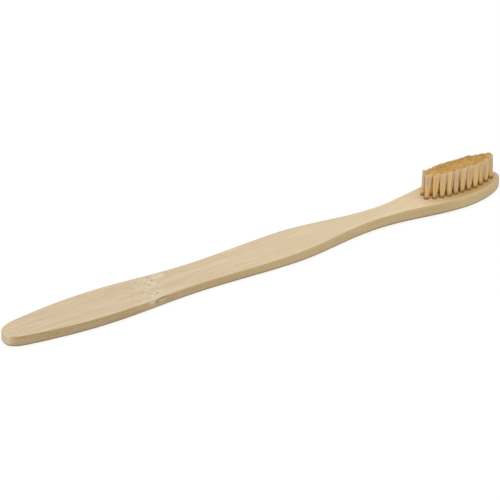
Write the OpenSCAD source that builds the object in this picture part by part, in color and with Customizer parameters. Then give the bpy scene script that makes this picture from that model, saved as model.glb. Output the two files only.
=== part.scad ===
// Manual toothbrush with a one-piece bamboo handle and anchored bristle tufts.
// The brush lies on its flat back. The handle runs along X with the head towards +X,
// the bristles stand up along Z, and the origin is under the middle of the handle.

/* [Handle outline] */
// Overall length from the tail to the toe of the head
handle_len = 190; // [178:1:202]
// Width across the grip, the widest place of the handle
grip_w = 15.4; // [13.5:0.1:17]
// Distance from the tail to the widest place of the grip
grip_at = 36.5; // [32:0.5:41]
// Width across the waist between the grip and the thumb swell
waist_w = 12.3; // [10.5:0.1:13.2]
// Distance from the tail to the waist
waist_at = 72; // [64:0.5:78]
// Width across the thumb swell
swell_w = 14.3; // [13:0.1:16]
// Distance from the tail to the middle of the thumb swell
swell_at = 105.5; // [98:0.5:112]
// Width across the neck, the narrowest place
neck_w = 6.7; // [5.5:0.05:8]
// Distance from the toe back to the narrowest place of the neck
neck_from_toe = 48.5; // [42:0.5:54]
// Width across the head
head_w = 14.1; // [12:0.1:15]
// Distance from the toe back to the widest place of the head
head_from_toe = 16.5; // [16:0.5:22]
// Sideways set of the head from the handle's axis, taken up along the neck
head_set = 0.5; // [0:0.05:0.6]
// Width that the grip's taper would reach at the very end of the tail
tail_w = 8.1; // [6:0.1:10]
// Length over which the tail's end is rounded off
tail_round = 7; // [5:0.5:11]

/* [Handle section] */
// Thickness at the tail
tail_t = 4.55; // [4:0.05:6]
// Thickness at the waist, the thinnest place
waist_t = 3.9; // [3.4:0.05:4.6]
// Thickness of the neck and the head
head_t = 4.8; // [4.5:0.05:6]
// Radius of the sanded edges, all round the top and the bottom
edge_r = 1; // [0.4:0.05:1.4]

/* [Tuft field] */
// Distance between the columns of tufts along the head
column_gap = 2.56; // [2.52:0.01:2.66]
// Distance between neighbouring tufts in the middle columns
row_gap = 2.35; // [2.3:0.05:2.5]
// Distance from the toe of the head back to the foremost column
toe_gap = 3.65; // [3.2:0.05:4]
// Diameter of a tuft hole
hole_d = 1.6; // [1.4:0.05:1.7]
// Depth of a tuft hole
hole_depth = 3.2; // [2.8:0.05:3.6]

/* [Bristles] */
// Bristle length above the head at the heel, on the near side of the field
bristle_heel_h = 10.3; // [8:0.1:13]
// Bristle length above the head at the toe, on the near side of the field
bristle_toe_h = 9.6; // [8:0.1:13]
// How much shorter the slanting trim leaves the bristles on the far side of the field
trim_fall = 1.1; // [0:0.1:2]
// Distance that the tips lean towards the toe, over all of the field but its toe end
lean_long = 0.8; // [0:0.05:0.8]
// Distance that the tips on the far side of the field lean in towards the near side
lean_cross = 0.8; // [0:0.05:1]
// Half the length of a tuft at its tip, along the handle
fan_long = 1.15; // [0.85:0.01:1.17]
// Half the width of a tuft at its tip, across the handle
fan_cross = 0.8; // [0.7:0.01:0.85]
// Side of a strand at its root
strand_root_w = 0.19; // [0.14:0.01:0.2]
// Side of a strand at its tip
strand_tip_w = 0.28; // [0.14:0.01:0.29]

/* [Anchors] */
// Width of an anchor plate, which bites into both sides of its hole
anchor_w = 1.75; // [1.65:0.01:1.8]
// Height of an anchor plate
anchor_h = 1.3; // [1:0.05:1.6]
// Thickness of an anchor plate
anchor_t = 0.3; // [0.2:0.01:0.4]
// Height of the folded filaments between an anchor and the floor of its hole
fold_h = 0.5; // [0.3:0.05:0.8]

/* [Hidden] */
// Clearance of the filaments in their hole, and of a plate in its slit
fit_gap = 0.03;
// Overrun of every cut past the surface that it opens
overrun = 1;
// Depth to which the free strands are rooted in the packed filaments
root_depth = 0.4;

// The field lies along the middle of the head
field_y = head_set;

// Tufts in each column from the heel to the toe, spread evenly across the head
column_counts = [2, 3, 3, 4, 4, 4, 4, 4, 3, 3, 2];
// Width of each column of tufts as a share of the widest one
column_shares = [0.37, 0.69, 0.88, 1, 1, 1, 1, 0.98, 0.79, 0.57, 0.28];
// Strands in each ring of a tuft, and the ring's distance from the middle of the tuft
ring_counts = [4, 8];
ring_shares = [0.4, 0.88];
// Power of the way along the field with which the lean towards the toe dies away
lean_power = 4;

// Roundness of the tail's end and of the toe: 1 is an ellipse, less is squarer, more is pointed
tail_power_share = 0.75;
toe_power_share = 1.1;
// Steps of the outline over the tail's end, between the ends, and over the toe
tail_steps = 9;
run_steps = 48;
toe_steps = 14;
// Steps of each rounded edge, and the angle of one
edge_steps = 5;
edge_step_angle = 90 / edge_steps;
// Facets round a tuft hole, and sides of the bundle of filaments packed in it
round_fn = 32;
bundle_sides = 8;

// Stations along the handle, measured from the tail
neck_at = handle_len - neck_from_toe;
head_at = handle_len - head_from_toe;

// Goes smoothly from a to b as x runs from x0 to x1, level at both ends
function blend(x, x0, x1, a, b) =
    let (share = min(max((x - x0) / (x1 - x0), 0), 1))
    a + (b - a) * (1 - cos(180 * share)) / 2;

// Rises from a to b as x runs from 0 to x1, level only at x1
function taper(x, x1, a, b) = a + (b - a) * sin(90 * min(x / x1, 1));

// Half the width of the handle at x from the tail, before its ends are rounded off
function half_width(x) =
    x < grip_at ? taper(x, grip_at, tail_w, grip_w) / 2
    : x < waist_at ? blend(x, grip_at, waist_at, grip_w, waist_w) / 2
    : x < swell_at ? blend(x, waist_at, swell_at, waist_w, swell_w) / 2
    : x < neck_at ? blend(x, swell_at, neck_at, swell_w, neck_w) / 2
    : blend(x, neck_at, head_at, neck_w, head_w) / 2;

// Sideways place of the handle's middle at x from the tail
function middle(x) = blend(x, neck_at, head_at, 0, head_set);

// Thickness of the handle at x from the tail
function thickness(x) =
    x < waist_at ? blend(x, 0, waist_at, tail_t, waist_t)
    : blend(x, waist_at, neck_at, waist_t, head_t);

// One side of the outline from the tail to the toe, as points [x, half width]
side_line = concat(
    [for (i = [0:tail_steps - 1])
        let (angle = 90 * i / tail_steps,
             x = tail_round * (1 - pow(cos(angle), tail_power_share)))
        [x, half_width(x) * pow(sin(angle), tail_power_share)]],
    [for (i = [0:run_steps - 1])
        let (x = tail_round + (head_at - tail_round) * i / run_steps)
        [x, half_width(x)]],
    [for (i = [0:toe_steps])
        let (angle = 90 * i / toe_steps)
        [head_at + head_from_toe * pow(sin(angle), toe_power_share),
         head_w / 2 * pow(cos(angle), toe_power_share)]]
);
side_count = len(side_line);
ring_count = 2 * side_count - 2;

// Outward direction of the outline at a point of the side line
function outward(i) =
    i == 0 ? [-1, 0]
    : i == side_count - 1 ? [1, 0]
    : let (along = side_line[i + 1] - side_line[i - 1]) [-along[1], along[0]] / norm(along);

// The closed outline, drawn in by inset, at a height above the back or below the face
function back_ring(inset, height) =
    [for (i = [0:ring_count - 1]) let (p = outline_point(i, inset)) [p[0], p[1], height]];
function face_ring(inset, depth) =
    [for (i = [0:ring_count - 1])
        let (p = outline_point(i, inset)) [p[0], p[1], thickness(p[0]) - depth]];
function outline_point(i, inset) =
    let (mirrored = i >= side_count,
         k = mirrored ? ring_count - i : i,
         p = side_line[k] - inset * outward(k))
    [p[0], middle(p[0]) + (mirrored ? -p[1] : p[1])];

// Rings of the handle's surface, from the back up the sides to the face
handle_rings = concat(
    [for (i = [0:edge_steps])
        let (angle = i * edge_step_angle)
        back_ring(edge_r * (1 - sin(angle)), edge_r * (1 - cos(angle)))],
    [for (i = [0:edge_steps])
        let (angle = i * edge_step_angle)
        face_ring(edge_r * (1 - cos(angle)), edge_r * (1 - sin(angle)))]
);
level_count = len(handle_rings);

// Index of point i in a level, where i wraps round the outline
function at(level, i) = level * ring_count + (i + ring_count) % ring_count;

side_faces = [for (level = [0:level_count - 2], i = [0:ring_count - 1], half = [0, 1])
    half == 0 ? [at(level, i), at(level, i + 1), at(level + 1, i + 1)]
    : [at(level, i), at(level + 1, i + 1), at(level + 1, i)]];
// The back and the face are strips from one side of the outline to the other
function strips(level) = [for (i = [0:side_count - 2])
    i == 0 ? [at(level, 0), at(level, 1), at(level, -1)]
    : i == side_count - 2 ? [at(level, i), at(level, i + 1), at(level, -i)]
    : [at(level, i), at(level, i + 1), at(level, -i - 1), at(level, -i)]];
function flipped(faces) = [for (face = faces) [for (i = [len(face) - 1:-1:0]) face[i]]];

// Places of the tufts from the tail and across the handle, with their names
column_count = len(column_counts);
widest_half = (max(column_counts) - 1) * row_gap / 2;
function column_x(column) = handle_len - toe_gap - column_gap * (column_count - 1 - column);
function two_digits(n) = n < 10 ? str("0", n) : str(n);
tufts = [for (c = [0:column_count - 1], place = [0:column_counts[c] - 1])
    [str("tuft_", two_digits(c + 1), "_", place + 1), column_x(c),
     field_y + widest_half * column_shares[c] * (2 * place / (column_counts[c] - 1) - 1)]];

// Heights of the parts of a tuft hole
hole_floor = head_t - hole_depth;
anchor_foot = hole_floor + fold_h;
packed_r = hole_d / 2 - fit_gap;
root_ring_r = packed_r - strand_root_w;

// Place of a point in the field, from 0 to 1, from the heel to the toe and from the near side
function share_along(x) = (x - column_x(0)) / (column_x(column_count - 1) - column_x(0));
function share_across(y) = (y - field_y + widest_half) / (2 * widest_half);

// Lean towards the toe of the tufts in a column
function lean_at(x) = lean_long * (1 - pow(share_along(x), lean_power));

// Height of the trimmed bristle tips
function trim_z(x, y) =
    head_t + bristle_heel_h + (bristle_toe_h - bristle_heel_h) * share_along(x) - trim_fall * share_across(y);

// The bare handle: a flat slab with the outline above and edges rounded all round
module blank() {
    polyhedron(
        points = [for (ring = handle_rings) each ring],
        faces = concat(flipped(side_faces), strips(0), flipped(strips(level_count - 1))),
        convexity = 6
    );
}

// One tuft hole with the slit that the anchor is driven down
module hole_cut(x, y) {
    translate([x, y, hole_floor])
        cylinder(d = hole_d, h = hole_depth + overrun, $fn = round_fn);
    translate([x - anchor_t / 2 - fit_gap, y - anchor_w / 2 - fit_gap, anchor_foot])
        cube([anchor_t + 2 * fit_gap, anchor_w + 2 * fit_gap, head_t - anchor_foot + overrun]);
}

module handle() {
    color([0.85, 0.76, 0.61])
    difference() {
        blank();
        for (t = tufts) {
            hole_cut(t[1], t[2]);
        }
    }
}

// A strand between two heights, square in section, with its middle going from p to q
module strand(p, q) {
    corners = [[-1, -1], [1, -1], [1, 1], [-1, 1]];
    polyhedron(
        points = concat(
            [for (c = corners) [p[0] + c[0] * strand_root_w / 2, p[1] + c[1] * strand_root_w / 2, p[2]]],
            [for (c = corners) [q[0] + c[0] * strand_tip_w / 2, q[1] + c[1] * strand_tip_w / 2, q[2]]]
        ),
        faces = [
            [0, 1, 2], [0, 2, 3], [4, 6, 5], [4, 7, 6],
            [0, 4, 5], [0, 5, 1], [1, 5, 6], [1, 6, 2],
            [2, 6, 7], [2, 7, 3], [3, 7, 4], [3, 4, 0]
        ]
    );
}

// The filaments packed in the hole, folded under the anchor and up both sides of it
module packed_filaments() {
    difference() {
        translate([0, 0, hole_floor])
            cylinder(r = packed_r, h = hole_depth, $fn = bundle_sides);
        translate([-anchor_t / 2 - fit_gap, -hole_d / 2, anchor_foot])
            cube([anchor_t + 2 * fit_gap, hole_d, anchor_h + fit_gap]);
    }
}

// A tuft, whose strands spread more along the handle than across it
module tuft(x, y) {
    color([0.82, 0.68, 0.5])
    translate([x, y, 0]) {
        packed_filaments();
        for (ring = [0:len(ring_counts) - 1], i = [0:ring_counts[ring] - 1]) {
            angle = 360 * (i + ring / 2) / ring_counts[ring];
            aim = ring_shares[ring] * [cos(angle), sin(angle)];
            tip = [aim[0] * fan_long + lean_at(x), aim[1] * fan_cross - lean_cross * share_across(y)];
            strand(
                [aim[0] * root_ring_r, aim[1] * root_ring_r, head_t - root_depth],
                [tip[0], tip[1], trim_z(x + tip[0], y + tip[1])]
            );
        }
    }
}

// The anchors, each a flat plate set across its hole
module anchors() {
    color([0.72, 0.7, 0.66])
    for (t = tufts) {
        translate([t[1] - anchor_t / 2, t[2] - anchor_w / 2, anchor_foot])
            cube([anchor_t, anchor_w, anchor_h]);
    }
}

// The parts are laid out from the tail, and the whole brush is centred on the origin
module centred() {
    translate([-handle_len / 2, 0, 0])
        children();
}

centred() handle();
for (t = tufts) {
    centred() tuft(t[1], t[2]);
}
centred() anchors();
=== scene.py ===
"""A flat bamboo toothbrush lying on its back.

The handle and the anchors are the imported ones. Each packed tuft is replaced by folded filaments.
"""
import math
import random

import bpy
import numpy as np
from mathutils import Matrix, Vector


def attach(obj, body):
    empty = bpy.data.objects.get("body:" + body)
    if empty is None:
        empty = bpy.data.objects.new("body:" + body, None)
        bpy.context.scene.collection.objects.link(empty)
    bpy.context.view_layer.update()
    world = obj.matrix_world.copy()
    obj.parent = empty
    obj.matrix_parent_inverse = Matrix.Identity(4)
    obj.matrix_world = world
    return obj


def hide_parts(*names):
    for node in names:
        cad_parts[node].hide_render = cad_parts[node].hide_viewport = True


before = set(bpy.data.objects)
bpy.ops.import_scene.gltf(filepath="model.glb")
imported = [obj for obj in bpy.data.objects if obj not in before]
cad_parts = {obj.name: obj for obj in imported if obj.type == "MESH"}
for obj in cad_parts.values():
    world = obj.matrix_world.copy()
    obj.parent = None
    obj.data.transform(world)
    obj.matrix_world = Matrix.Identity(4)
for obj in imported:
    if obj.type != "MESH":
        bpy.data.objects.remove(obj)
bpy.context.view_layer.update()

MM = 0.001  # the sizes below are in millimetres, and every mesh is in metres

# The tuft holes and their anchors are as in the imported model. The tufts' places, their lean and
# the plane of their trim are read from it.
HOLE_R = 0.8
HOLE_FLOOR = 1.6
ANCHOR_FOOT = 2.1
ANCHOR_TOP = 3.4
ANCHOR_HALF_T = 0.15
# A packed tuft's points so far below the face are in its hole, and so far above it are its tips
PLUG_BELOW = 0.6
TIPS_ABOVE = 5.0

# The folded filaments of a tuft, each a closed tube
FILAMENTS = 37
FILAMENT_R = 0.095
FILAMENT_SIDES = 6
# Half the spread of a tuft's tips along and across the handle, and of its legs in the hole
FAN_LONG = 1.32
FAN_CROSS = 1.08
ROOT_R = 0.55
# A tuft spreads fast just above its hole
FLARE_POWER = 0.7
# The cut tips of a tuft fill a square with rounded corners: 2 would be a disc, and more is squarer
SQUARENESS = 4.0
# Share of their fan that the outermost tufts keep on the outside of the field
OUT_SHARE = {-1: 0.5, 1: 0.68}
# The tips stray a little, and this share of them twice as far
STRAY = 0.06
WILD_SHARE = 0.04
# A leg bows by about so much, and is cut between these heights over the trim
BOW = 0.045
UNEVEN = (-0.12, 0.02)
# A leg's rings from its tip down to the hole: share of its height, and share of the full radius
LEG_RINGS = ((1.0, 0.62), (0.996, 1.0), (0.82, 1.0), (0.62, 1.0), (0.42, 1.0), (0.22, 1.0),
             (0.08, 1.0), (0.0, 1.0))
# In the hole: clear space round a leg, above the anchor and under it, and the least that the square
# of a leg's room beside the anchor is taken as
LEG_CLEAR = 0.01
TOP_CLEAR = 0.1
FOLD_CLEAR = 0.02
LEAST_ROOM = 0.06
# A fold hangs lower by this share of its reach beyond the anchor, and its corners are drawn in
FOLD_SAG = 0.6
FOLD_IN = 0.85

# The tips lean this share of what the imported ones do, give or take so much along and across
LEAN_SHARE = 0.7
LEAN_STRAY = (0.05, 0.04)
# The tufts at the toe and at the heel are tucked in
TOE_TUCK = 0.7
HEEL_TUCK = 0.35
TUCK_POWER = 6
# Tufts that stand proud of the trim: by so much in the middle, and so much more at the heel's side
PROUD = {"01_2": (0.45, 0.62), "08_4": (0.2, 0.0), "10_1": (0.2, 0.0), "10_3": (0.15, 0.0),
         "11_1": (0.5, 0.0), "11_2": (0.4, 0.0)}

# A leg is on the outside of the field beyond this share of its tuft's half width
RIM_FROM = 0.5
# Mean tone of the filaments, from tan at 0 to pale at 1, among the tufts and outside. The golden
# tan among the tufts is painted light that bounces between the filaments and passes through them.
# It goes from the one to the other over this width of the tuft, from this place in it
BOUNCE_TONE_INNER, BOUNCE_TONE_OUTER = 0.05, 0.85
BOUNCE_TONE_FROM, BOUNCE_TONE_WIDTH = -0.1, 0.5
# How far the tone strays from tuft to tuft, and from filament to filament
TUFT_STRAY = 0.12
TONE_STRAY = 0.11
# Share of the tuft's outward direction in a filament's shading, which softens it as in a dense
# tuft, and how much of it the tufts in the middle of the field have
SOFTNESS = 0.72
INNER_SOFT = 0.5
# Share of the field's outward direction in that of the tufts round its edge, and how fast the
# softening fades on their inner side
FIELD_SHARE = 0.7
FIELD_TURN = 1.5
# Depth below the trim over which the direction turns up
TIP_DEPTH = 1.1

# The camera of the photograph: direction in degrees, focal length in pixels of a 500 pixel frame,
# scale in pixels a millimetre, and where in the frame the point lies that it aims at
CAM_AZIMUTH = -27.941
CAM_ELEVATION = 37.0
CAM_FOCAL = 6000.0
CAM_SCALE = 2.9568
CAM_CENTRE = (255.26, 256.70)
FRAME_SIDE = 500.0
SENSOR = 36.0
CLIP = (0.05, 20.0)  # metres
AIM = Vector((0.0, 0.0, 2.5))

# The least length that a vector is divided by
TINY = 1e-6


def read_rows(items, field):
    """A field of a mesh's vertices, as rows of three numbers."""
    flat = np.empty(len(items) * 3)
    items.foreach_get(field, flat)
    return flat.reshape(-1, 3)


def points_mm(node):
    """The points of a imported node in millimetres."""
    return read_rows(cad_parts[node].data.vertices, "co") / MM


def middle_of(points):
    """Middle of the box round some points, seen from above."""
    return (points[:, :2].min(axis=0) + points[:, :2].max(axis=0)) / 2


def read_tufts():
    """Each tuft's name, the middle of its hole and its tips' lean, and the plane of the trim."""
    tufts, tips = [], []
    for node in sorted(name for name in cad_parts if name.startswith("tuft_")):
        points = points_mm(node)
        hole = middle_of(points[points[:, 2] < HEAD_T - PLUG_BELOW])
        tip = points[points[:, 2] > HEAD_T + TIPS_ABOVE]
        tufts.append((node[5:], hole, middle_of(tip) - hole))
        tips.append(tip)
    tips = np.concatenate(tips)
    places_of = np.column_stack([tips[:, :2], np.ones(len(tips))])
    plane = np.linalg.lstsq(places_of, tips[:, 2], rcond=None)[0]
    return tufts, plane


def share_along(x):
    """Way along the tuft field, from 0 at the heel's column to 1 at the toe's."""
    first, last = TUFTS[0][1][0], TUFTS[-1][1][0]
    return float((x - first) / (last - first))


def outward():
    """For each tuft, the side and the end of the field that it stands at: -1, 0 or 1."""
    names = [name for name, hole, lean in TUFTS]
    columns = {}
    for name in names:
        columns.setdefault(name[:2], []).append(name)
    sides, ends = {}, {}
    for name in names:
        column = columns[name[:2]]
        sides[name] = (name == column[-1]) - (name == column[0])
        ends[name] = (name[:2] == names[-1][:2]) - (name[:2] == names[0][:2])
    return sides, ends


HEAD_T = float(points_mm("handle")[:, 2].max())
TUFTS, TRIM = read_tufts()
SIDES, ENDS = outward()


def srgb(red, green, blue):
    """Linear colour of an 8-bit sRGB one."""
    out = []
    for value in (red, green, blue):
        share = value / 255.0
        out.append(share / 12.92 if share <= 0.04045 else ((share + 0.055) / 1.055) ** 2.4)
    return (*out, 1.0)


# Shader helpers

# The sockets of a Mix node that mixes colours
MIX_SHARE, MIX_FIRST, MIX_SECOND, MIX_RESULT = 0, 6, 7, 2
EVEN = (1.0, 1.0, 1.0)


def new_tree(owner, output_kind):
    """The emptied node tree of a material or a world, and the socket of its output."""
    owner.use_nodes = True
    tree = owner.node_tree
    tree.nodes.clear()
    return tree, tree.nodes.new(output_kind).inputs[0]


def new_material(name):
    """A material with a plain Principled shader, its tree and its shader."""
    material = bpy.data.materials.new(name)
    tree, surface = new_tree(material, "ShaderNodeOutputMaterial")
    shader = tree.nodes.new("ShaderNodeBsdfPrincipled")
    tree.links.new(shader.outputs[0], surface)
    return material, tree, shader


def feed(tree, socket, value):
    """Links a socket to another's output, or sets its value."""
    if isinstance(value, bpy.types.NodeSocket):
        tree.links.new(value, socket)
    else:
        socket.default_value = value


def maths(tree, operation, *values):
    """The result of a Math node."""
    node = tree.nodes.new("ShaderNodeMath")
    node.operation = operation
    for socket, value in zip(node.inputs, values):
        feed(tree, socket, value)
    return node.outputs[0]


def times(tree, product, *values):
    """The product of two or more values."""
    for value in values:
        product = maths(tree, "MULTIPLY", product, value)
    return product


def away(tree, first, second):
    """The distance between two values."""
    return maths(tree, "ABSOLUTE", maths(tree, "SUBTRACT", first, second))


def length_of(tree, across, up):
    """The length of a vector of two parts."""
    squares = maths(tree, "ADD", times(tree, across, across), times(tree, up, up))
    return maths(tree, "SQRT", squares)


def vector(tree, operation, first, second):
    """The result of a Vector Math node."""
    node = tree.nodes.new("ShaderNodeVectorMath")
    node.operation = operation
    feed(tree, node.inputs[0], first)
    feed(tree, node.inputs[1], second)
    return node.outputs[0]


def noise(tree, place, stretch, scale, detail, roughness):
    """A pattern of noise about 0.5, in a place stretched along x, y and z."""
    node = tree.nodes.new("ShaderNodeTexNoise")
    feed(tree, node.inputs["Vector"], vector(tree, "MULTIPLY", place, stretch))
    node.inputs["Scale"].default_value = scale
    node.inputs["Detail"].default_value = detail
    node.inputs["Roughness"].default_value = roughness
    return node.outputs[0]


def centred(tree, pattern):
    """A pattern about 0."""
    return maths(tree, "SUBTRACT", pattern, 0.5)


def ramp(tree, value, low, high, start=0.0, end=1.0):
    """Goes smoothly from start to end as value goes from low to high."""
    node = tree.nodes.new("ShaderNodeMapRange")
    node.interpolation_type = "SMOOTHSTEP"
    for index, item in enumerate((value, low, high, start, end)):
        feed(tree, node.inputs[index], item)
    return node.outputs[0]


def mix(tree, share, first, second):
    """One colour, and another where share is 1."""
    node = tree.nodes.new("ShaderNodeMix")
    node.data_type = "RGBA"
    feed(tree, node.inputs[MIX_SHARE], share)
    feed(tree, node.inputs[MIX_FIRST], first)
    feed(tree, node.inputs[MIX_SECOND], second)
    return node.outputs[MIX_RESULT]


def layer(tree, colour, value, low, high, weight, other, mask=1.0):
    """Lays another colour over one, the more so as value goes from low to high."""
    share = ramp(tree, value, low, high, 0.0, weight)
    return mix(tree, times(tree, share, mask), colour, other)


def parts_of(tree, whole):
    """The x, y and z of a vector."""
    split = tree.nodes.new("ShaderNodeSeparateXYZ")
    feed(tree, split.inputs[0], whole)
    return tuple(split.outputs)


def places(tree):
    """The place on the object in millimetres, and its x, y and z."""
    coords = tree.nodes.new("ShaderNodeTexCoord")
    place = vector(tree, "MULTIPLY", coords.outputs["Object"], (1 / MM, 1 / MM, 1 / MM))
    return place, *parts_of(tree, place)


def attribute(tree, name):
    """A number that the mesh carries."""
    node = tree.nodes.new("ShaderNodeAttribute")
    node.attribute_name = name
    return node.outputs["Fac"]


def bump(tree, shader, height, distance):
    """Shades a relief of a depth in millimetres."""
    node = tree.nodes.new("ShaderNodeBump")
    node.inputs["Strength"].default_value = 1.0
    node.inputs["Distance"].default_value = distance * MM
    feed(tree, node.inputs["Height"], height)
    feed(tree, shader.inputs["Normal"], node.outputs[0])


# Bamboo

# Patterns of noise: stretch along x, y and z, scale, detail and roughness
WANDER = (EVEN, 0.45, 2.0, 0.5)
DRIFT = ((0.03, 0.2, 0.2), 1.0, 1.0, 0.5)
BLOTCH = ((0.35, 1.0, 1.0), 0.11, 2.0, 0.5)
PATCH = ((0.45, 1.0, 1.3), 0.8, 2.0, 0.6)
MOTTLE = ((0.6, 0.9, 0.9), 0.9, 2.0, 0.5)
DOTS = ((0.75, 1.1, 1.1), 1.5, 3.0, 0.6)
# The same along the grain, whose own place is stretched along the handle. It bends with the drift,
# with the wander in the joint's band, and by this share of both across the thickness
GRAIN_STRETCH = (0.028, 1.0, 1.0)
DRIFT_BEND, BAND_BEND, BEND_UP = 1.2, 3.0, 0.6
FINE = (EVEN, 4.2, 3.0, 0.6)
BROAD = (EVEN, 0.85, 2.0, 0.5)
LINE = (EVEN, 1.9, 2.0, 0.5)
FIBRE = ((2.2, 1.0, 1.0), 6.5, 1.0, 0.5)

# The wood's two tones on the face and on the side wall, and the range of the broad pattern that
# goes from the one to the other
FACE_DARK, FACE_LIGHT, FACE_RANGE = srgb(207, 186, 149), srgb(219, 200, 168), (0.3, 0.7)
SIDE_DARK, SIDE_LIGHT, SIDE_RANGE = srgb(169, 144, 102), srgb(188, 166, 129), (0.35, 0.7)
SIDE_GOLD = srgb(186, 156, 98)
FIBRE_BROWN = srgb(182, 152, 108)
# Layers of colour: where each starts to come in and where it is full, its weight and its colour.
# They come in with a pattern,
FACE_PINK = (0.4, 0.75, 0.6, srgb(214, 191, 161))
LINE_PINK = (0.52, 0.66, 0.4, srgb(203, 177, 144))
LINE_PALE = (0.47, 0.34, 0.4, srgb(225, 211, 180))
PATCH_GREY = (0.52, 0.68, 0.5, srgb(190, 172, 146))
PATCH_GOLD = (0.48, 0.34, 0.5, SIDE_GOLD)
FINE_DARK = (0.35, 0.75, 0.28, FIBRE_BROWN)
FIBRE_DARK = (0.6, 0.72, 0.3, FIBRE_BROWN)
# with the place along the handle,
FACE_NECK = (-60.0, 70.0, 0.75, srgb(228, 207, 170))
FACE_HEAD = (40.0, 66.0, 0.3, srgb(246, 223, 186))
# Painted shade and warm light bounced from the bristles, on the face beside them
FACE_BOUNCE_SHADE = (60.0, 80.0, 0.95, srgb(200, 168, 112))
SIDE_NECK = (-95.0, 40.0, 0.6, srgb(212, 188, 143))
SIDE_HEAD = (52.0, 66.0, 0.25, SIDE_GOLD)
SIDE_TOE = (71.0, 79.0, 0.45, srgb(215, 191, 150))
# with how far the surface faces up, and with the height
EDGE_GOLD = (0.0, 0.4, 0.85, srgb(162, 132, 80))
# Painted shade: the side wall darkens towards the floor, as in the contact shadow under it
WALL_FOOT_SHADE = (1.4, 0.4, 1.0, srgb(132, 100, 54))
# The painted shade and warm bounced light beside the bristles fade out over these distances from
# the field
BOUNCE_SHADE_REACH = (1.2, 4.2)

# The side wall is where the normal's z is below these values, which go from the grip's to the
# head's over this stretch of x, and above those of the underside
HEAD_START = (50.0, 60.0)
WALL_LOW = (0.58, 0.74)
WALL_HIGH = (0.86, 0.965)
UNDERSIDE = (-0.995, -0.96)
# Its colour fades where it turns round the tail, and partly where it turns round the toe: painted
# light, the face's lighter colour where these ends face the side lamps. The level part of the
# normal, which is 0 on the flat face, counts as this much longer than it is
TAIL_TURN = (-0.8, -0.4)
TOE_TURN = (0.55, 0.95, 1.0, 0.3)
LEAST_LEVEL = 0.001
# The face's marks are above these heights, and those of the near wall beyond these y
FACE_FROM = (2.4, 3.2)
NEAR_FROM = (-5.0, -5.6)

# The culm's joint: where its pale band crosses the middle, its slant, the distances from its middle
# over which it fades, and how far these wander
NODE_X, NODE_SLANT = -40.6, 0.25
NODE_FADE = (3.3, 7.5)
NODE_WANDER = 4.0
NODE_PALE, NODE_SPECK = srgb(224, 211, 188), srgb(208, 170, 120)
PIT_DARK, STREAK_DARK = srgb(118, 94, 60), srgb(138, 104, 58)
# The ranges over which the band's mottle and its dots come in with their patterns, and the shares
# of a spot's radii over which it fades
MOTTLE_RANGE = (0.36, 0.6, 0.35, 1.0)
DOT_RANGE = (0.52, 0.62)
SPOT_EDGE = (0.45, 1.25)
# Weights of the band on the face and on the side wall, and of the marks in and beside it
BAND_FACE, BAND_WALL = 0.45, 0.15
CLOUD_WEIGHT, SPECK_WEIGHT, DOT_WEIGHT, PIT_WEIGHT = 0.9, 0.8, 0.5, 0.75
WALL_PALE_WEIGHT, WALL_DARK_WEIGHT = 0.5, 0.55
# Dark pits in the band, and its orange specks and white clouds, as x, y, half length, half width
PITS = ((-38.0, 2.8, 0.3, 0.3), (-39.2, -4.0, 0.42, 0.3))
SPECKS = ((-38.3, 5.2, 0.9, 0.35), (-40.6, 2.4, 0.55, 0.3), (-40.0, 0.9, 0.7, 0.45),
          (-42.0, 0.0, 0.5, 0.3), (-40.2, -1.4, 0.55, 0.3), (-42.3, -3.1, 0.6, 0.4),
          (-42.2, -5.3, 0.5, 0.3), (-43.8, -5.7, 0.6, 0.3), (-46.9, -5.7, 1.0, 0.5),
          (-43.6, 1.7, 0.5, 0.3), (-45.8, -0.5, 0.5, 0.35), (-47.1, -1.0, 0.8, 0.4))
CLOUDS = ((-35.9, 3.9, 1.5, 1.1), (-38.9, 2.9, 1.3, 0.9), (-39.9, 4.1, 1.1, 0.7),
          (-40.8, 0.2, 1.0, 0.7), (-39.2, -3.6, 1.4, 0.8), (-41.7, -4.9, 1.0, 0.9),
          (-38.4, 1.2, 1.1, 0.9), (-34.1, 4.0, 1.5, 0.9))
# Marks on the near side wall beside the band, as x, z, half length and half height
WALL_DARK = ((-38.2, 3.5, 2.6, 0.4), (-40.7, 2.6, 0.4, 1.2), (-36.3, 1.9, 2.6, 0.22),
             (-47.5, 1.5, 3.2, 0.2))
WALL_PALE = ((-42.7, 3.0, 1.3, 0.7), (-41.7, 3.8, 0.7, 0.4), (-38.6, 2.7, 1.4, 0.35))

# Burnt wood and painted shade in and round the tuft holes: they fade over these distances from the
# holes' edge, and go this far below their floor
BURNT_AND_SHADE = srgb(160, 112, 46)
BURNT_AND_SHADE_WEIGHT = 0.8
DARK_RIM_FROM, DARK_RIM_REACH = -0.02, 0.1
DARK_RIM_BELOW = 0.2
# Millimetres that 1 stands for in the table of the holes' columns
TABLE_MM = 10.0

# The wood's roughness goes with the fine grain: its range, and then that of the roughness
WOOD_ROUGHNESS = (0.3, 0.75, 0.5, 0.68)
# Relief of the dots in the band, in millimetres, and depth of the grain and of the pits to theirs
WOOD_RELIEF = 0.035
GRAIN_DEPTH, PIT_DEPTH = 0.6, 4.0


def node_band(tree, x, y, wander):
    """How far a place is into the pale band of the culm's joint, from 0 to 1."""
    off = away(tree, x, maths(tree, "MULTIPLY_ADD", y, NODE_SLANT, NODE_X))
    loose = maths(tree, "MULTIPLY_ADD", wander, NODE_WANDER, off)
    return ramp(tree, loose, *NODE_FADE, 1.0, 0.0)


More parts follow.
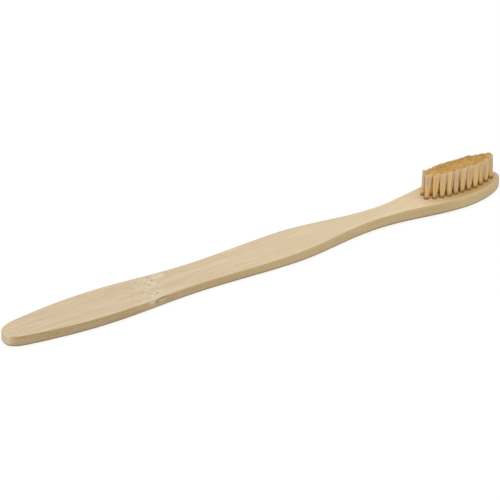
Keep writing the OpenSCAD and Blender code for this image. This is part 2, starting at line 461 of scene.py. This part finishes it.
def spots(tree, across, up, items):
    """A mask of soft ellipses, each given as the two places of its middle and its two radii."""
    total = 0.0
    for middle_across, middle_up, wide, high in items:
        dx = maths(tree, "DIVIDE", maths(tree, "SUBTRACT", across, middle_across), wide)
        dy = maths(tree, "DIVIDE", maths(tree, "SUBTRACT", up, middle_up), high)
        spot = ramp(tree, length_of(tree, dx, dy), *SPOT_EDGE, 1.0, 0.0)
        total = maths(tree, "MAXIMUM", total, spot)
    return total


def hole_columns():
    """The middles of the tuft holes, column by column from the heel."""
    columns = {}
    for name, hole, lean in TUFTS:
        columns.setdefault(name[:2], []).append(hole)
    return [columns[key] for key in sorted(columns)]


def column_facts(tree, columns, nearest):
    """For the nearest column: its holes' pitch, the shift of its rows in pitches, and its reach."""
    count = len(columns)
    table = tree.nodes.new("ShaderNodeValToRGB")
    stops = table.color_ramp.elements
    table.color_ramp.interpolation = "CONSTANT"
    for index, holes in enumerate(columns):
        stop = stops[index] if index < 2 else stops.new(index / count)
        stop.position = index / count
        spread = holes[-1][1] - holes[0][1]
        pitch = spread / (len(holes) - 1)
        shift = 0.5 if len(holes) % 2 == 0 else 0.0
        stop.color = (pitch / TABLE_MM, shift, spread / 2 / TABLE_MM, 1.0)
    step = maths(tree, "DIVIDE", maths(tree, "ADD", nearest, 0.5), float(count))
    feed(tree, table.inputs[0], step)
    facts = tree.nodes.new("ShaderNodeSeparateColor")
    feed(tree, facts.inputs[0], table.outputs[0])
    pitch, shift, reach = facts.outputs
    return times(tree, pitch, TABLE_MM), shift, times(tree, reach, TABLE_MM)


def burnt_and_shaded_rims(tree, x, y, z):
    """Burnt wood and painted shade in and just round the tuft holes, from 0 to 1."""
    columns = hole_columns()
    count = len(columns)
    first = columns[0]
    step = (columns[-1][0][0] - first[0][0]) / (count - 1)
    column = maths(tree, "DIVIDE", maths(tree, "SUBTRACT", x, first[0][0]), step)
    nearest = maths(tree, "ROUND", column)
    pitch, shift, reach = column_facts(tree, columns, nearest)
    aside = maths(tree, "SUBTRACT", y, float((first[0][1] + first[-1][1]) / 2))
    row = maths(tree, "ADD", maths(tree, "DIVIDE", aside, pitch), shift)
    dx = times(tree, maths(tree, "SUBTRACT", column, nearest), step)
    dy = times(tree, maths(tree, "SUBTRACT", row, maths(tree, "ROUND", row)), pitch)
    ring = ramp(tree, length_of(tree, dx, dy), HOLE_R + DARK_RIM_FROM, HOLE_R + DARK_RIM_REACH, 1.0, 0.0)
    inside = maths(tree, "LESS_THAN", maths(tree, "ABSOLUTE", aside),
                   maths(tree, "ADD", reach, HOLE_R + DARK_RIM_REACH))
    among = maths(tree, "LESS_THAN", away(tree, column, (count - 1) / 2), count / 2)
    above = maths(tree, "GREATER_THAN", z, HOLE_FLOOR - DARK_RIM_BELOW)
    return times(tree, ring, inside, among, above)


def bristle_shade_and_bounce(tree, x, y):
    """Reach of the painted shade and bounced light by the bristles: 1 among them to 0 a few
    millimetres off.
    """
    first, last = TUFTS[0][1], TUFTS[-1][1]
    centre = float(first[0] + last[0]) / 2
    half = float(last[0] - first[0]) / 2
    widest = max(float(hole[1]) for name, hole, lean in TUFTS)
    beyond = maths(tree, "SUBTRACT", away(tree, x, centre), half)
    aside = maths(tree, "SUBTRACT", maths(tree, "ABSOLUTE", y), widest)
    off = length_of(tree, maths(tree, "MAXIMUM", beyond, 0.0), maths(tree, "MAXIMUM", aside, 0.0))
    return ramp(tree, off, *BOUNCE_SHADE_REACH, 1.0, 0.0)


def grain_place(tree, place, wander, band):
    """The place in the grain, which is bent a little everywhere and a lot in the band."""
    drift = centred(tree, noise(tree, place, *DRIFT))
    bend = maths(tree, "ADD", times(tree, drift, DRIFT_BEND), times(tree, wander, band, BAND_BEND))
    shift = tree.nodes.new("ShaderNodeCombineXYZ")
    feed(tree, shift.inputs[1], bend)
    feed(tree, shift.inputs[2], times(tree, bend, BEND_UP))
    return vector(tree, "ADD", vector(tree, "MULTIPLY", place, GRAIN_STRETCH), shift.outputs[0])


def face_colour(tree, place, grain, x, y):
    """The face's wood, with broad and fine lines, and painted warm shade and bounced light by the
    bristles.
    """
    broad, line = noise(tree, grain, *BROAD), noise(tree, grain, *LINE)
    colour = mix(tree, ramp(tree, broad, *FACE_RANGE), FACE_DARK, FACE_LIGHT)
    colour = layer(tree, colour, noise(tree, place, *BLOTCH), *FACE_PINK)
    colour = layer(tree, colour, line, *LINE_PINK)
    colour = layer(tree, colour, line, *LINE_PALE)
    colour = layer(tree, colour, x, *FACE_NECK)
    colour = layer(tree, colour, x, *FACE_HEAD)
    return layer(tree, colour, x, *FACE_BOUNCE_SHADE, mask=bristle_shade_and_bounce(tree, x, y))


def side_colour(tree, place, grain, x, upward):
    """The side wall's wood, patchy, with a golden upper edge."""
    broad, patch = noise(tree, grain, *BROAD), noise(tree, place, *PATCH)
    colour = mix(tree, ramp(tree, broad, *SIDE_RANGE), SIDE_DARK, SIDE_LIGHT)
    colour = layer(tree, colour, patch, *PATCH_GREY)
    colour = layer(tree, colour, patch, *PATCH_GOLD)
    colour = layer(tree, colour, upward, *EDGE_GOLD)
    for along in (SIDE_NECK, SIDE_HEAD, SIDE_TOE):
        colour = layer(tree, colour, x, *along)
    return colour


def wall_masks(tree, x, facing):
    """1 on the side wall and 0 on the face and the underside, and less than 1 round its ends, as
    painted light.
    """
    low, high = ramp(tree, x, *HEAD_START, *WALL_LOW), ramp(tree, x, *HEAD_START, *WALL_HIGH)
    wall = maths(tree, "MINIMUM", ramp(tree, facing[2], low, high, 1.0, 0.0),
                 ramp(tree, facing[2], *UNDERSIDE))
    level = maths(tree, "ADD", length_of(tree, facing[0], facing[1]), LEAST_LEVEL)
    ahead = maths(tree, "DIVIDE", facing[0], level)
    ends = maths(tree, "MINIMUM", ramp(tree, ahead, *TAIL_TURN), ramp(tree, ahead, *TOE_TURN))
    return wall, ends


def joint(tree, colour, place, x, y, band, wall, flat):
    """Lays the culm's joint over a colour: the new colour, and the relief of its dots and pits."""
    mottle = ramp(tree, noise(tree, place, *MOTTLE), *MOTTLE_RANGE)
    weight = maths(tree, "MULTIPLY_ADD", wall, BAND_WALL - BAND_FACE, BAND_FACE)
    cloud = times(tree, spots(tree, x, y, CLOUDS), flat, CLOUD_WEIGHT)
    pale = maths(tree, "MAXIMUM", times(tree, band, mottle, weight), cloud)
    colour = mix(tree, pale, colour, NODE_PALE)
    dots = times(tree, ramp(tree, noise(tree, place, *DOTS), *DOT_RANGE), band)
    speck = times(tree, spots(tree, x, y, SPECKS), flat, SPECK_WEIGHT)
    dotted = maths(tree, "MAXIMUM", times(tree, dots, DOT_WEIGHT), speck)
    colour = mix(tree, dotted, colour, NODE_SPECK)
    pit = times(tree, spots(tree, x, y, PITS), flat)
    colour = mix(tree, times(tree, pit, PIT_WEIGHT), colour, PIT_DARK)
    return colour, maths(tree, "MULTIPLY_ADD", pit, -PIT_DEPTH, dots)


def wall_marks(tree, colour, x, y, z, wall):
    """Lays the joint's marks on the near side wall over a colour."""
    near = times(tree, ramp(tree, y, *NEAR_FROM), wall)
    pale = times(tree, spots(tree, x, z, WALL_PALE), near, WALL_PALE_WEIGHT)
    colour = mix(tree, pale, colour, NODE_PALE)
    dark = times(tree, spots(tree, x, z, WALL_DARK), near, WALL_DARK_WEIGHT)
    return mix(tree, dark, colour, STREAK_DARK)


def bamboo():
    """The handle's wood."""
    material, tree, shader = new_material("bamboo_wood")
    place, x, y, z = places(tree)
    wander = centred(tree, noise(tree, place, *WANDER))
    band = node_band(tree, x, y, wander)
    grain = grain_place(tree, place, wander, band)
    fine = noise(tree, grain, *FINE)
    facing = parts_of(tree, tree.nodes.new("ShaderNodeTexCoord").outputs["Normal"])
    wall, ends = wall_masks(tree, x, facing)
    flat = times(tree, ramp(tree, z, *FACE_FROM), maths(tree, "SUBTRACT", 1.0, wall))

    face = face_colour(tree, place, grain, x, y)
    side = side_colour(tree, place, grain, x, facing[2])
    # The side wall's colour, with painted light round the tail and the toe where the face's colour
    # shows
    colour = mix(tree, times(tree, wall, ends), face, side)
    # Painted contact shadow low on the side wall
    colour = layer(tree, colour, z, *WALL_FOOT_SHADE, mask=wall)
    colour = layer(tree, colour, fine, *FINE_DARK)
    colour = layer(tree, colour, noise(tree, grain, *FIBRE), *FIBRE_DARK)
    colour, relief = joint(tree, colour, place, x, y, band, wall, flat)
    colour = wall_marks(tree, colour, x, y, z, wall)
    # Burnt wood and painted shade in and round the tuft holes
    burnt_and_shade = times(tree, burnt_and_shaded_rims(tree, x, y, z), BURNT_AND_SHADE_WEIGHT)
    feed(tree, shader.inputs["Base Color"], mix(tree, burnt_and_shade, colour, BURNT_AND_SHADE))
    feed(tree, shader.inputs["Roughness"], ramp(tree, fine, *WOOD_ROUGHNESS))
    bump(tree, shader, maths(tree, "MULTIPLY_ADD", fine, -GRAIN_DEPTH, relief), WOOD_RELIEF)
    return material


# Bristles and anchors

# Colours of the filaments: inside and outside the field, and low down there, where light is dim.
# The golden colour inside is painted light that bounces between the filaments and passes through
# them, and those low down are painted shade
FILAMENT_TAN, FILAMENT_PALE = srgb(252, 209, 112), srgb(224, 196, 157)
FILAMENT_GOLD, FILAMENT_SHADE = srgb(240, 184, 76), srgb(222, 180, 112)
# Painted highlight on the outer filaments near their tips and on their cut ends
RIM_HIGHLIGHT = srgb(233, 207, 165)
END_BROWN, END_GOLD = srgb(170, 124, 46), srgb(222, 180, 108)
ANCHOR_DARK, ANCHOR_LIGHT = srgb(196, 190, 178), srgb(226, 222, 212)
# Layers as above, and reaches of one without its colour. They come in with the pattern of lengths,
LENGTH_TAN = (0.45, 0.8, 0.25, FILAMENT_TAN)
# with the height over the head,
SHADE_REACH = (6.0, 0.0, 1.0)
# Painted shade at the tufts' feet, with some staining
FOOT_DARK = (1.9, -0.2, 0.85, srgb(150, 106, 46))
# with the height over the trim,
# Painted highlight near the top of the outer filaments
RIM_LIT = (-3.0, -0.3, 0.55, RIM_HIGHLIGHT)
TIP_GOLD = (-0.6, -0.1, 0.8, END_GOLD)
# and with the distance from the heel's column
HEEL_PALE = (5.0, 0.0, 0.6, srgb(232, 196, 140))
# Share of the shade that the palest filaments are spared
SHADE_SPARED = 0.6
# The cut ends go from brown to golden with their speckle and this much of their patches
END_RANGE = (0.3, 0.7)
PATCH_WEIGHT = 1.6
# Weight of the painted highlight on the cut ends round the field
END_RIM_WEIGHT = 0.8
# Patterns of noise, as above, with the depth of those that are a relief
LENGTHS = ((3.0, 3.0, 0.35), 1.0, 2.0, 0.5)
SCRATCHES, SCRATCH_DEPTH = ((1.0, 1.0, 0.1), 14.0, 2.0, 0.5), 0.006
SPECKLE = (EVEN, 2.6, 3.0, 0.7)
END_PATCH = (EVEN, 0.75, 1.0, 0.5)
CUTS, CUT_DEPTH = (EVEN, 18.0, 2.0, 0.5), 0.008
ROLLED, ROLLED_DEPTH = ((8.0, 0.6, 14.0), 1.0, 3.0, 0.5), 0.01
# Roughness, as the wood's
FILAMENT_ROUGHNESS = (0.3, 0.7, 0.42, 0.58)
FILAMENT_SPECULAR = 0.18
END_ROUGHNESS = (0.3, 0.7, 0.5, 0.7)
ANCHOR_ROUGHNESS = (0.3, 0.7, 0.28, 0.5)


def over_trim(tree, x, y, z):
    """Height over the plane of the trim."""
    along, across, level = map(float, TRIM)
    plane = maths(tree, "MULTIPLY_ADD", x, along, times(tree, y, across))
    return maths(tree, "SUBTRACT", z, maths(tree, "ADD", plane, level))


def filament_material():
    """Satin filaments, with painted shade that makes them dimmer and browner towards the foot."""
    material, tree, shader = new_material("bristle_filament")
    place, x, y, z = places(tree)
    tone_and_bounce, rim = attribute(tree, "tone_and_bounce"), attribute(tree, "rim")
    lengths = noise(tree, place, *LENGTHS)
    over_head = maths(tree, "SUBTRACT", z, HEAD_T)
    over = over_trim(tree, x, y, z)

    # Tan among the tufts, painted light that bounces between the filaments and passes through them
    colour = mix(tree, tone_and_bounce, FILAMENT_TAN, FILAMENT_PALE)
    colour = layer(tree, colour, lengths, *LENGTH_TAN)
    dim = mix(tree, tone_and_bounce, FILAMENT_GOLD, FILAMENT_SHADE)
    spared = maths(tree, "MULTIPLY_ADD", tone_and_bounce, -SHADE_SPARED, 1.0)
    colour = layer(tree, colour, over_head, *SHADE_REACH, dim, mask=spared)
    colour = layer(tree, colour, over_head, *FOOT_DARK)
    colour = layer(tree, colour, over, *RIM_LIT, mask=rim)
    colour = layer(tree, colour, over, *TIP_GOLD, mask=maths(tree, "SUBTRACT", 1.0, rim))
    feed(tree, shader.inputs["Base Color"], colour)
    feed(tree, shader.inputs["Roughness"], ramp(tree, lengths, *FILAMENT_ROUGHNESS))
    shader.inputs["Specular IOR Level"].default_value = FILAMENT_SPECULAR
    bump(tree, shader, noise(tree, place, *SCRATCHES), SCRATCH_DEPTH)
    return material


def end_material():
    """The filaments' cut ends, golden and speckled, pale at the heel, and with a painted highlight
    round the field.
    """
    material, tree, shader = new_material("bristle_cut_end")
    place, x = places(tree)[:2]
    speckle = noise(tree, place, *SPECKLE)
    patch = centred(tree, noise(tree, place, *END_PATCH))
    level = maths(tree, "MULTIPLY_ADD", patch, PATCH_WEIGHT, speckle)
    colour = mix(tree, ramp(tree, level, *END_RANGE), END_BROWN, END_GOLD)
    from_heel = maths(tree, "SUBTRACT", x, float(TUFTS[0][1][0]))
    colour = layer(tree, colour, from_heel, *HEEL_PALE)
    # Painted highlight on the cut ends round the field
    rim = times(tree, attribute(tree, "rim"), END_RIM_WEIGHT)
    feed(tree, shader.inputs["Base Color"], mix(tree, rim, colour, RIM_HIGHLIGHT))
    feed(tree, shader.inputs["Roughness"], ramp(tree, speckle, *END_ROUGHNESS))
    bump(tree, shader, noise(tree, place, *CUTS), CUT_DEPTH)
    return material


def anchor_material():
    """Rolled metal strip."""
    material, tree, shader = new_material("anchor_strip")
    rolled = noise(tree, places(tree)[0], *ROLLED)
    shader.inputs["Metallic"].default_value = 1.0
    feed(tree, shader.inputs["Base Color"], mix(tree, rolled, ANCHOR_DARK, ANCHOR_LIGHT))
    feed(tree, shader.inputs["Roughness"], ramp(tree, rolled, *ANCHOR_ROUGHNESS))
    bump(tree, shader, rolled, ROLLED_DEPTH)
    return material


# Tufts of folded filaments

def trim_height(x, y):
    """Height of the cut tips."""
    return float(TRIM[0] * x + TRIM[1] * y + TRIM[2])


def legs(rng):
    """Pairs of places in a unit disc, one on each side of the anchor, for each filament's legs."""
    count = 2 * FILAMENTS
    golden = math.pi * (3 - math.sqrt(5))
    turn = rng.uniform(0, 2 * math.pi)
    spread = []
    for index in range(count):
        radius = math.sqrt((index + 0.5) / count)
        angle = index * golden + turn
        spread.append((radius * math.cos(angle), radius * math.sin(angle)))
    spread.sort()
    back = sorted(spread[:FILAMENTS], key=lambda spot: spot[1])
    front = sorted(spread[FILAMENTS:], key=lambda spot: spot[1])
    return list(zip(back, front))


def squared(spot):
    """Moves a place in the unit disc out into a square with rounded corners."""
    x, y = spot
    size = (abs(x) ** SQUARENESS + abs(y) ** SQUARENESS) ** (1 / SQUARENESS)
    stretch = math.hypot(x, y) / size
    return x * stretch, y * stretch


def leg_tip(rng, spot, middle, lean, proud, side):
    """Place of a leg's tip beside the middle of its hole, and its height."""
    loose = STRAY if rng.random() > WILD_SHARE else 2 * STRAY
    wide, deep = squared(spot)
    if deep * side > 0:
        deep *= OUT_SHARE[side]
    tip = Vector((wide * (FAN_LONG - FILAMENT_R) + lean[0] + rng.gauss(0, loose),
                  deep * (FAN_CROSS - FILAMENT_R) + lean[1] + rng.gauss(0, loose), 0))
    top = trim_height(middle[0] + tip.x, middle[1] + tip.y) + proud[0] - proud[1] * spot[0]
    return tip, top + rng.uniform(*UNEVEN)


def beside_anchor(spot, across):
    """How far along the handle from the anchor's middle a leg stands in the hole."""
    inner = ANCHOR_HALF_T + FILAMENT_R + LEG_CLEAR
    room = math.sqrt(max((HOLE_R - FILAMENT_R - LEG_CLEAR) ** 2 - across ** 2, LEAST_ROOM))
    return math.copysign(inner + (max(room, inner) - inner) * abs(spot[0]), spot[0])


def leg_path(rng, spot, middle, lean, proud, side):
    """Centre line and radii of one leg from its tip down to the foot of the anchor."""
    root = Vector((spot[0] * ROOT_R, spot[1] * ROOT_R, 0))
    tip, top = leg_tip(rng, spot, middle, lean, proud, side)
    bow = Vector((rng.gauss(0, BOW), rng.gauss(0, BOW), 0))
    points, radii = [], []
    for share, radius in LEG_RINGS:
        at = root.lerp(tip, share ** FLARE_POWER) + bow * math.sin(math.pi * share)
        points.append(Vector((at.x, at.y, HEAD_T + (top - HEAD_T) * share)))
        radii.append(radius)
    for height in (ANCHOR_TOP + TOP_CLEAR, ANCHOR_FOOT):
        points.append(Vector((beside_anchor(spot, root.y), root.y, height)))
        radii.append(1.0)
    return points, radii


def filament(rng, pair, middle, lean, proud, side):
    """Centre line and radii of one folded filament, from tip to tip under the anchor."""
    down, down_radii = leg_path(rng, pair[0], middle, lean, proud, side)
    up, up_radii = leg_path(rng, pair[1], middle, lean, proud, side)
    feet = (down[-1], up[-1])
    beyond = max(abs(foot.x) for foot in feet) - ANCHOR_HALF_T - FILAMENT_R
    low = ANCHOR_FOOT - FILAMENT_R - FOLD_CLEAR - FOLD_SAG * beyond
    low = max(low, HOLE_FLOOR + FILAMENT_R)
    corners = [Vector((foot.x * FOLD_IN, foot.y, (ANCHOR_FOOT + 2 * low) / 3)) for foot in feet]
    bottom = Vector(((feet[0].x + feet[1].x) / 2, (feet[0].y + feet[1].y) / 2, low))
    points = down + [corners[0], bottom, corners[1]] + up[::-1]
    return points, down_radii + [1.0, 1.0, 1.0] + up_radii[::-1]


def add_tube(lists, points, radii):
    """Adds a closed round tube along a centre line to a mesh's vertices, faces and their slots."""
    verts, faces, slots = lists
    first = len(verts)
    rings = len(points)
    across = Vector((0, 1, 0))
    for index, (point, radius) in enumerate(zip(points, radii)):
        along = (points[min(index + 1, rings - 1)] - points[max(index - 1, 0)]).normalized()
        one = (across - along * across.dot(along)).normalized()
        two = along.cross(one)
        for side in range(FILAMENT_SIDES):
            angle = 2 * math.pi * side / FILAMENT_SIDES
            turned = one * math.cos(angle) + two * math.sin(angle)
            verts.append(point + turned * radius * FILAMENT_R)
    for index in range(rings - 1):
        for side in range(FILAMENT_SIDES):
            a = first + index * FILAMENT_SIDES + side
            b = first + index * FILAMENT_SIDES + (side + 1) % FILAMENT_SIDES
            faces.append((a, b, b + FILAMENT_SIDES, a + FILAMENT_SIDES))
            slots.append(1 if index in (0, rings - 2) else 0)
    last = first + (rings - 1) * FILAMENT_SIDES
    faces.append(tuple(first + side for side in reversed(range(FILAMENT_SIDES))))
    faces.append(tuple(last + side for side in range(FILAMENT_SIDES)))
    slots.extend((1, 1))


def unit_rows(rows):
    """Vectors in rows, each made 1 long."""
    return rows / np.maximum(np.linalg.norm(rows, axis=1), TINY)[:, None]


def soft_normals(data, middle, lean, rims, facing):
    """Turns the filaments' normals to the outside of the tuft. Their cut ends keep their own."""
    own = read_rows(data.vertices, "normal")
    place = read_rows(data.vertices, "co") / MM
    trim = np.column_stack([place[:, :2], np.ones(len(place))]) @ TRIM
    share = np.clip((place[:, 2] - HEAD_T) / (trim - HEAD_T), 0, 1)
    near_tip = np.clip((place[:, 2] - trim + TIP_DEPTH) / TIP_DEPTH, 0, 1)
    open_top = near_tip * (1 - np.array(rims))
    out = np.zeros((len(place), 3))
    out[:, 0] = place[:, 0] - middle[0] - lean[0] * share
    out[:, 1] = place[:, 1] - middle[1] - lean[1] * share
    fan = ROOT_R + (FAN_CROSS - ROOT_R) * share ** FLARE_POWER
    soft = np.clip(np.linalg.norm(out, axis=1) / fan, 0, 1)
    out = unit_rows(out)
    if any(facing):
        field_out = np.array(facing) / math.hypot(*facing)
        soft *= np.clip(1 + FIELD_TURN * (out[:, :2] @ field_out), 0, 1)
        out[:, :2] += FIELD_SHARE * field_out
        out = unit_rows(out)
    else:
        soft *= INNER_SOFT
    # A face that looks away from that direction keeps its own normal, or it would render black
    soft *= np.clip(1 + np.sum(own * out, axis=1), 0, 1)
    soft = (SOFTNESS * np.maximum(soft, open_top))[:, None]
    out *= (1 - open_top)[:, None]
    out[:, 2] += open_top
    turned = unit_rows(own * (1 - soft) + out * soft)
    normals = []
    for face in data.polygons:
        side = len(face.vertices) == 4
        normals.extend(turned[index] if side else face.normal for index in face.vertices)
    data.normals_split_custom_set([tuple(map(float, normal)) for normal in normals])


def leg_tone_and_bounce(out, own):
    """A leg's tone: painted light by how far outside in the field it stands, and its filament's own
    tone.
    """
    share = min(max((out - BOUNCE_TONE_FROM) / BOUNCE_TONE_WIDTH, 0.0), 1.0)
    return min(max(BOUNCE_TONE_INNER + (BOUNCE_TONE_OUTER - BOUNCE_TONE_INNER) * share + own, 0.0), 1.0)


def tuft_lists(rng, name, middle, lean):
    """A tuft's vertices, faces and slots, each vertex's tone with painted light, and whether it's
    on the rim.
    """
    lists = ([], [], [])
    tones_and_bounce, rims = [], []
    shade = rng.uniform(-TUFT_STRAY, TUFT_STRAY)
    proud = PROUD.get(name, (0.0, 0.0))
    for pair in legs(rng):
        points, radii = filament(rng, pair, middle, lean, proud, SIDES[name])
        own = rng.gauss(shade, TONE_STRAY)
        half = len(points) // 2 + 1
        for spot, rings in zip(pair, (half, len(points) - half)):
            out = max(spot[1] * SIDES[name], spot[0] * ENDS[name])
            tones_and_bounce.extend([leg_tone_and_bounce(out, own)] * (rings * FILAMENT_SIDES))
            rims.extend([float(out > RIM_FROM)] * (rings * FILAMENT_SIDES))
        add_tube(lists, points, radii)
    return lists, tones_and_bounce, rims


def tuft(name, hole, lean, materials, seed):
    """One tuft as an object: folded filaments round the place of its anchor."""
    rng = random.Random(seed)
    x, y = map(float, hole)
    share = share_along(x)
    tuck = TOE_TUCK * share ** TUCK_POWER - HEEL_TUCK * (1 - share) ** TUCK_POWER
    lean = (float(lean[0]) * LEAN_SHARE - tuck + rng.gauss(0, LEAN_STRAY[0]),
            float(lean[1]) + rng.gauss(0, LEAN_STRAY[1]))
    (verts, faces, slots), tones_and_bounce, rims = tuft_lists(rng, name, (x, y), lean)
    middle = Vector((x, y, 0))
    data = bpy.data.meshes.new("bristles_" + name)
    data.from_pydata([tuple((vert + middle) * MM) for vert in verts], [], faces)
    for material in materials:
        data.materials.append(material)
    data.polygons.foreach_set("material_index", slots)
    data.polygons.foreach_set("use_smooth", [len(face) == 4 for face in faces])
    # Each vertex's tone, with the painted light among the tufts
    data.attributes.new("tone_and_bounce", "FLOAT", "POINT").data.foreach_set("value", tones_and_bounce)
    data.attributes.new("rim", "FLOAT", "POINT").data.foreach_set("value", rims)
    data.update()
    soft_normals(data, middle, lean, rims, (ENDS[name], SIDES[name]))
    piece = bpy.data.objects.new("bristles_" + name, data)
    bpy.context.collection.objects.link(piece)
    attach(piece, "root")
    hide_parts("tuft_" + name)


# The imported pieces

# Points of the handle less than this apart are one, in metres, and its faces look curved where
# they meet at less than this angle in degrees
WELD = 2e-7
CREASE = 40.0
# Below these a face has no area, and a sum of normals no direction
NO_AREA = 1e-20
NO_SUM = 1e-16


def curved_normals(data):
    """Gives a faceted mesh the normals of the curved surface it stands for. No point moves."""
    place = read_rows(data.vertices, "co")
    corner = np.empty(len(data.loops), dtype=np.int32)
    data.loops.foreach_get("vertex_index", corner)
    points = place[corner.reshape(-1, 3)]
    cross = np.cross(points[:, 1] - points[:, 0], points[:, 2] - points[:, 0])
    area = np.linalg.norm(cross, axis=1)
    flat = cross / np.maximum(area, NO_AREA)[:, None]
    grid = np.round(place / WELD).astype(np.int64)
    keys = np.unique(grid, axis=0, return_inverse=True)[1].reshape(-1)[corner]
    face_of = np.repeat(np.arange(len(points)), 3)
    order = np.argsort(keys, kind="stable")
    groups = np.split(order, np.flatnonzero(np.diff(keys[order])) + 1)
    normals = np.zeros((len(corner), 3))
    least = math.cos(math.radians(CREASE))
    for group in groups:
        own = face_of[group]
        close = (flat[own] @ flat[own].T) > least
        total = close @ (flat[own] * area[own][:, None])
        size = np.linalg.norm(total, axis=1)[:, None]
        normals[group] = np.where(size > NO_SUM, total / np.maximum(size, NO_AREA), flat[own])
    data.polygons.foreach_set("use_smooth", [True] * len(data.polygons))
    data.normals_split_custom_set(normals.tolist())


def dress(node, material):
    """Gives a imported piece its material."""
    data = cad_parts[node].data
    data.materials.clear()
    data.materials.append(material)


# Stage

WHITE = (1.0, 1.0, 1.0, 1.0)
FLOOR_HALF = 3000.0
# The floor lies a hair below the flat underside, so that the two faces don't coincide
FLOOR_DROP = 0.02
# The floor glows to rays that see it, less where it is in the shade, and bounces plain light
FLOOR_BOUNCE = srgb(214, 214, 212)
FLOOR_GLOW = 0.78
FLOOR_SHADE = (0.26, 0.26, 0.26, 1.0)
WORLD_LEVEL = 0.5
# Square lamps that face the middle of the object: name, place and size in metres, and power
LAMPS = (("top", (0.1, 0.15, 1.2), 1.1, 4.0), ("left", (-1.1, -0.1, 0.45), 0.8, 3.3),
         ("right", (1.0, -0.5, 0.6), 0.8, 2.5), ("front", (-0.4, -0.95, 0.75), 0.9, 3.9))


def closure(tree, kind, **values):
    """A shader of a kind, with its inputs set by name."""
    node = tree.nodes.new(kind)
    for name, value in values.items():
        node.inputs[name].default_value = value
    return node.outputs[0]


def show(tree, output, unseen, seen):
    """Gives an output one shader, and another to rays that see the stage itself."""
    path = tree.nodes.new("ShaderNodeLightPath")
    sees = maths(tree, "MAXIMUM", path.outputs["Is Camera Ray"], path.outputs["Is Glossy Ray"])
    sees = maths(tree, "MAXIMUM", sees, path.outputs["Is Transmission Ray"])
    choose = tree.nodes.new("ShaderNodeMixShader")
    for socket, value in zip(choose.inputs, (sees, unseen, seen)):
        feed(tree, socket, value)
    feed(tree, output, choose.outputs[0])


def floor_material():
    """White to rays that see it, with the object's shadow."""
    material = bpy.data.materials.new("floor_white")
    tree, surface = new_tree(material, "ShaderNodeOutputMaterial")
    both = tree.nodes.new("ShaderNodeAddShader")
    feed(tree, both.inputs[0], closure(tree, "ShaderNodeBsdfDiffuse", Color=FLOOR_SHADE))
    feed(tree, both.inputs[1], closure(tree, "ShaderNodeEmission", Strength=FLOOR_GLOW))
    bounce = closure(tree, "ShaderNodeBsdfDiffuse", Color=FLOOR_BOUNCE)
    show(tree, surface, bounce, both.outputs[0])
    return material


def make_floor():
    """The floor that the brush lies on."""
    data = bpy.data.meshes.new("floor")
    half = FLOOR_HALF * MM
    corners = [(-half, -half), (half, -half), (half, half), (-half, half)]
    data.from_pydata([(x, y, -FLOOR_DROP * MM) for x, y in corners], [], [(0, 1, 2, 3)])
    floor = bpy.data.objects.new("floor", data)
    bpy.context.collection.objects.link(floor)
    data.materials.append(floor_material())


def make_world():
    """A plain pale world that looks white."""
    world = bpy.data.worlds.new("studio")
    bpy.context.scene.world = world
    tree, surface = new_tree(world, "ShaderNodeOutputWorld")
    ambient = closure(tree, "ShaderNodeBackground", Color=WHITE, Strength=WORLD_LEVEL)
    white = closure(tree, "ShaderNodeBackground", Color=WHITE, Strength=1.0)
    show(tree, surface, ambient, white)


def soft_box(name, place, size, power):
    """A square lamp that faces the middle of the object."""
    data = bpy.data.lights.new(name, "AREA")
    data.shape = "SQUARE"
    data.size = size
    data.energy = power
    lamp = bpy.data.objects.new(name, data)
    bpy.context.collection.objects.link(lamp)
    lamp.location = place
    lamp.rotation_euler = (-Vector(place)).to_track_quat("-Z", "Y").to_euler()


def make_camera():
    """The photograph's camera."""
    azimuth, elevation = math.radians(CAM_AZIMUTH), math.radians(CAM_ELEVATION)
    level = math.cos(elevation)
    back = Vector((math.sin(azimuth) * level, -math.cos(azimuth) * level, math.sin(elevation)))
    right = Vector((math.cos(azimuth), math.sin(azimuth), 0))
    up = back.cross(right)
    aside = (CAM_CENTRE[0] - FRAME_SIDE / 2) / CAM_SCALE
    above = -(CAM_CENTRE[1] - FRAME_SIDE / 2) / CAM_SCALE
    data = bpy.data.cameras.new("camera")
    data.sensor_width = SENSOR
    data.lens = CAM_FOCAL / FRAME_SIDE * SENSOR
    data.clip_start, data.clip_end = CLIP
    camera = bpy.data.objects.new("camera", data)
    bpy.context.collection.objects.link(camera)
    place = (AIM + back * (CAM_FOCAL / CAM_SCALE) - right * aside - up * above) * MM
    turn = Matrix((right, up, back)).transposed().to_4x4()
    camera.matrix_world = Matrix.Translation(place) @ turn
    bpy.context.scene.camera = camera


def build():
    """The brush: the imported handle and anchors, and a tuft in each hole."""
    dress("handle", bamboo())
    curved_normals(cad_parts["handle"].data)
    dress("anchors", anchor_material())
    materials = (filament_material(), end_material())
    for seed, (name, hole, lean) in enumerate(TUFTS):
        tuft(name, hole, lean, materials, seed)


build()
make_floor()
make_world()
for lamp_values in LAMPS:
    soft_box(*lamp_values)
make_camera()
bpy.context.scene.view_settings.view_transform = "Standard"
